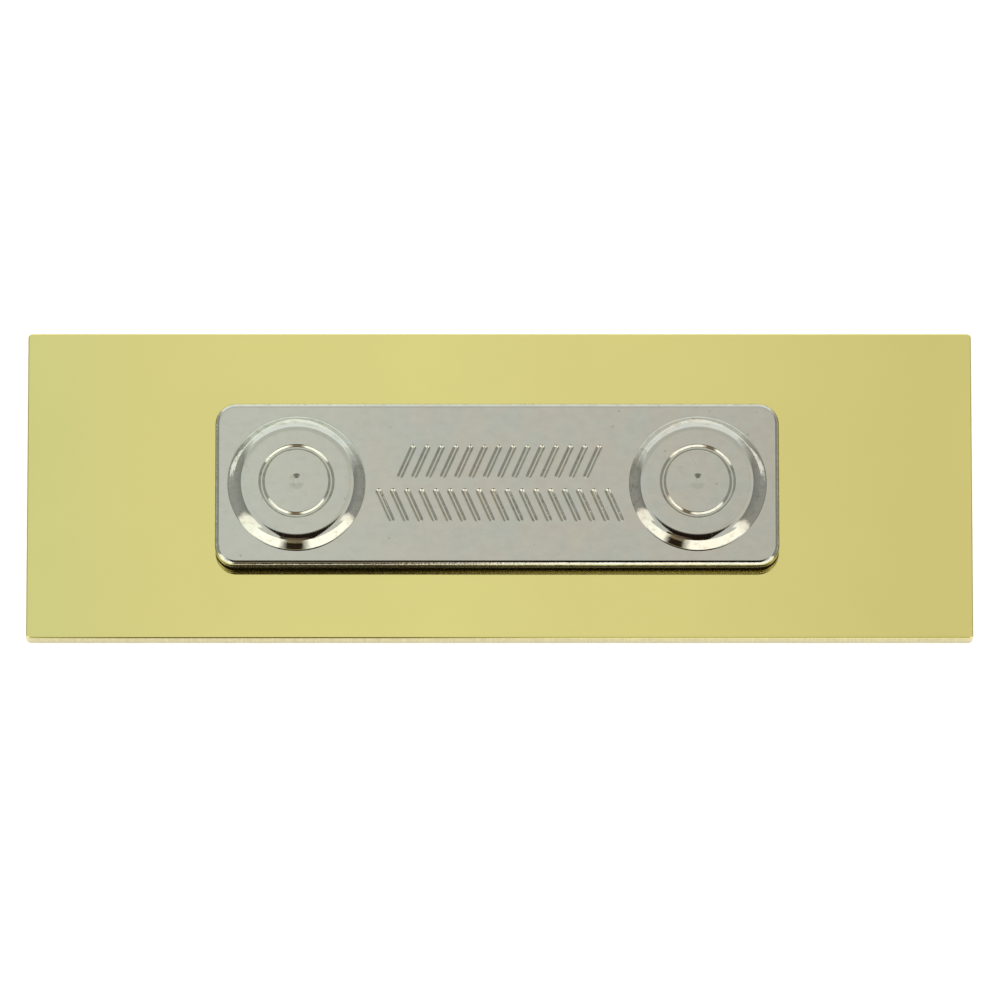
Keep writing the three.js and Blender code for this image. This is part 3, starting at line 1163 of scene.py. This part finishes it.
class BADGE_OT_stage(Operator):
    """Builds the table, the light cards, the lamp and the camera"""

    bl_idname = "badge.stage"
    bl_label = "Stage"

    def execute(self, context):
        settings = context.scene.badge_stage
        self.add_table(settings)
        for card in CARDS:
            add_card(card)
        self.add_lamp()
        self.add_sky(context.scene)
        self.add_camera(context.scene, settings)
        context.scene.view_settings.view_transform = "Standard"
        return {"FINISHED"}

    def add_table(self, settings):
        signs = [(-1, -1), (1, -1), (1, 1), (-1, 1)]
        table = sheet("table", [(x * TABLE_REACH, y * TABLE_REACH, -TABLE_DROP) for x, y in signs])
        material = blank_material("table")
        sketch = Sketch(material.node_tree)
        sockets = {"Base Color": opaque(settings.table), "Roughness": 0.9}
        sockets["Specular IOR Level"] = 0.1
        shader = sketch.node("ShaderNodeBsdfPrincipled", None, sockets)
        sketch.node("ShaderNodeOutputMaterial", None, {"Surface": sketch.wire(shader)})
        coat(table, material)

    def add_lamp(self):
        """A broad soft lamp that lights the table and the foam. The metal shows the light cards
        instead."""
        light = bpy.data.lights.new("lamp", "SUN")
        light.energy = 2.0
        light.angle = math.radians(8)
        lamp = new_object("lamp", light)
        lamp.visible_glossy = False

    def add_sky(self, scene):
        world = bpy.data.worlds.new("studio")
        scene.world = world
        world.use_nodes = True
        sketch = Sketch(world.node_tree)
        sketch.tree.nodes.clear()
        seen = sketch.wire(sketch.node("ShaderNodeLightPath"), "Is Camera Ray")
        sockets = {"Color": (1, 1, 1, 1), "Strength": SKY + (BACKDROP - SKY) * seen}
        shader = sketch.node("ShaderNodeBackground", None, sockets)
        sketch.node("ShaderNodeOutputWorld", None, {"Surface": sketch.wire(shader)})

    def add_camera(self, scene, settings):
        data = bpy.data.cameras.new("camera")
        camera = new_object("camera", data)
        back = Vector((0, -math.sin(settings.tilt), math.cos(settings.tilt)))
        aim = Vector((settings.aim_x, settings.aim_y, PLATE_BOX[1].z))
        camera.location = aim + back * settings.distance
        camera.rotation_mode = "QUATERNION"
        camera.rotation_quaternion = (-back).to_track_quat("-Z", "Y")
        data.lens = data.sensor_width * settings.distance / settings.view_width
        data.clip_start = 0.01
        data.clip_end = 20.0
        scene.camera = camera


class BADGE_PT_panel(Panel):
    """Lists the badge's pieces in the sidebar"""

    bl_label = "Name Badge"
    bl_idname = "BADGE_PT_panel"
    bl_space_type = "VIEW_3D"
    bl_region_type = "UI"
    bl_category = "Badge"

    def draw(self, context):
        for name, made in SETTINGS.items():
            box = self.layout.box()
            box.label(text=name.removeprefix("badge_").capitalize())
            for setting in made.__annotations__:
                box.prop(getattr(context.scene, name), setting)
        for step in STEPS:
            self.layout.operator(step.bl_idname)


SETTINGS = {
    "badge_plate": BadgePlateSettings,
    "badge_strip": BadgeStripSettings,
    "badge_cover": BadgeCoverSettings,
    "badge_grooves": BadgeGrooveSettings,
    "badge_magnets": BadgeMagnetSettings,
    "badge_stage": BadgeStageSettings,
}
STEPS = [
    BADGE_OT_plate,
    BADGE_OT_pad,
    BADGE_OT_strip,
    BADGE_OT_cover,
    BADGE_OT_magnets,
    BADGE_OT_stage,
]


def register():
    for made in [*SETTINGS.values(), *STEPS, BADGE_PT_panel]:
        bpy.utils.register_class(made)
    for name, made in SETTINGS.items():
        setattr(bpy.types.Scene, name, PointerProperty(type=made))


def unregister():
    for name in SETTINGS:
        delattr(bpy.types.Scene, name)
    for made in reversed([*SETTINGS.values(), *STEPS, BADGE_PT_panel]):
        bpy.utils.unregister_class(made)


def main():
    register()
    bpy.ops.badge.plate()
    bpy.ops.badge.pad()
    bpy.ops.badge.strip()
    bpy.ops.badge.cover()
    bpy.ops.badge.magnets()
    bpy.ops.badge.stage()


if __name__ == "__main__":
    main()
